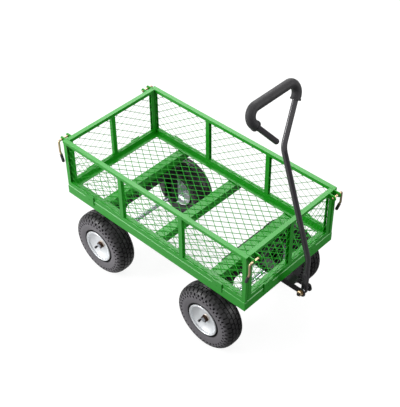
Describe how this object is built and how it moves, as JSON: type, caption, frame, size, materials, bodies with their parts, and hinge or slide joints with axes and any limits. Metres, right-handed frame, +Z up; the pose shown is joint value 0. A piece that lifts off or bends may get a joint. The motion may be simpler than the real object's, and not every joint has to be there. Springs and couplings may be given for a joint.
{
  "type": "garden cart",
  "caption": "Steel mesh-sided garden cart with a flat mesh deck, lift-off side panels held by corner latch pins, pneumatic wheels, a steered front axle and a folding pull handle.",
  "frame": {"origin": "on the ground, under the middle of the overall length and width of the cart", "axes": "+X forward, towards the pull handle; +Y to the left; +Z up"},
  "size_m": [0.976, 0.507, 0.9775],
  "materials": {
    "green_powder_coat": "semi-gloss green powder coat",
    "black_frame_paint": "satin black",
    "grey_handle_paint": "semi-gloss dark grey",
    "yellow_zinc": "yellow zinc plate",
    "bright_steel": "zinc plate",
    "silver_rim": "silver paint",
    "tyre_rubber": "matt black rubber",
    "grip_foam": "matt black foam rubber",
    "black_plastic": "black"
  },
  "bodies": {
    "bed": {"deck_rail_left": "green_powder_coat", "deck_rail_right": "green_powder_coat", "deck_rail_front": "green_powder_coat", "deck_rail_rear": "green_powder_coat", "floor_mesh": "green_powder_coat", "cross_member_rear": "green_powder_coat", "cross_member_middle": "green_powder_coat", "cross_member_front": "green_powder_coat", "panel_pockets": "green_powder_coat", "left_panel_frame": "green_powder_coat", "left_panel_mesh": "green_powder_coat", "right_panel_frame": "green_powder_coat", "right_panel_mesh": "green_powder_coat", "front_panel_frame": "green_powder_coat", "front_panel_mesh": "green_powder_coat", "rear_panel_frame": "green_powder_coat", "rear_panel_mesh": "green_powder_coat", "rear_axle_carrier": "black_frame_paint", "rear_axle": "bright_steel", "rear_axle_nuts": "yellow_zinc", "carrier_bolts": "yellow_zinc", "turntable_plate": "black_frame_paint", "kingpin": "yellow_zinc"},
    "steering": {"steering_carrier": "black_frame_paint", "thrust_washer": "bright_steel", "tongue": "black_frame_paint", "front_axle": "bright_steel", "front_axle_nuts": "yellow_zinc", "pivot_bolt": "black_frame_paint", "pivot_nut": "yellow_zinc"},
    "handle": {"handle_tube": "grey_handle_paint", "handle_bush": "bright_steel", "handle_grip": "grip_foam", "handle_end_cap": "black_plastic"},
    "front_left_wheel": {"front_left_tyre": "tyre_rubber", "front_left_rim": "silver_rim", "front_left_bearings": "bright_steel", "front_left_valve": "black_plastic"},
    "front_right_wheel": {"front_right_tyre": "tyre_rubber", "front_right_rim": "silver_rim", "front_right_bearings": "bright_steel", "front_right_valve": "black_plastic"},
    "rear_left_wheel": {"rear_left_tyre": "tyre_rubber", "rear_left_rim": "silver_rim", "rear_left_bearings": "bright_steel", "rear_left_valve": "black_plastic"},
    "rear_right_wheel": {"rear_right_tyre": "tyre_rubber", "rear_right_rim": "silver_rim", "rear_right_bearings": "bright_steel", "rear_right_valve": "black_plastic"},
    "front_left_latch": {"front_left_latch_pin": "yellow_zinc", "front_left_latch_sleeve": "black_plastic"},
    "front_right_latch": {"front_right_latch_pin": "yellow_zinc", "front_right_latch_sleeve": "black_plastic"},
    "rear_left_latch": {"rear_left_latch_pin": "yellow_zinc", "rear_left_latch_sleeve": "black_plastic"},
    "rear_right_latch": {"rear_right_latch_pin": "yellow_zinc", "rear_right_latch_sleeve": "black_plastic"}
  },
  "joints": [
    {"name": "steering_yaw", "type": "hinge", "parent": "bed", "child": "steering", "pos_m": [0.2375, 0, 0.27], "axis": [0, 0, 1], "range_deg": [-25, 25]},
    {"name": "handle_pitch", "type": "hinge", "parent": "steering", "child": "handle", "pos_m": [0.4705, 0, 0.255], "axis": [0, 1, 0], "range_deg": [0, 115]},
    {"name": "front_left_wheel_spin", "type": "hinge", "parent": "steering", "child": "front_left_wheel", "pos_m": [0.2375, 0.212, 0.127], "axis": [0, 1, 0], "continuous": true},
    {"name": "front_right_wheel_spin", "type": "hinge", "parent": "steering", "child": "front_right_wheel", "pos_m": [0.2375, -0.212, 0.127], "axis": [0, 1, 0], "continuous": true},
    {"name": "rear_left_wheel_spin", "type": "hinge", "parent": "bed", "child": "rear_left_wheel", "pos_m": [-0.2935, 0.212, 0.127], "axis": [0, 1, 0], "continuous": true},
    {"name": "rear_right_wheel_spin", "type": "hinge", "parent": "bed", "child": "rear_right_wheel", "pos_m": [-0.2935, -0.212, 0.127], "axis": [0, 1, 0], "continuous": true},
    {"name": "front_left_latch_slide", "type": "slide", "parent": "bed", "child": "front_left_latch", "axis": [0, 1, 0], "range_m": [0, 0.05]},
    {"name": "front_right_latch_slide", "type": "slide", "parent": "bed", "child": "front_right_latch", "axis": [0, -1, 0], "range_m": [0, 0.05]},
    {"name": "rear_left_latch_slide", "type": "slide", "parent": "bed", "child": "rear_left_latch", "axis": [0, 1, 0], "range_m": [0, 0.05]},
    {"name": "rear_right_latch_slide", "type": "slide", "parent": "bed", "child": "rear_right_latch", "axis": [0, -1, 0], "range_m": [0, 0.05]}
  ]
}
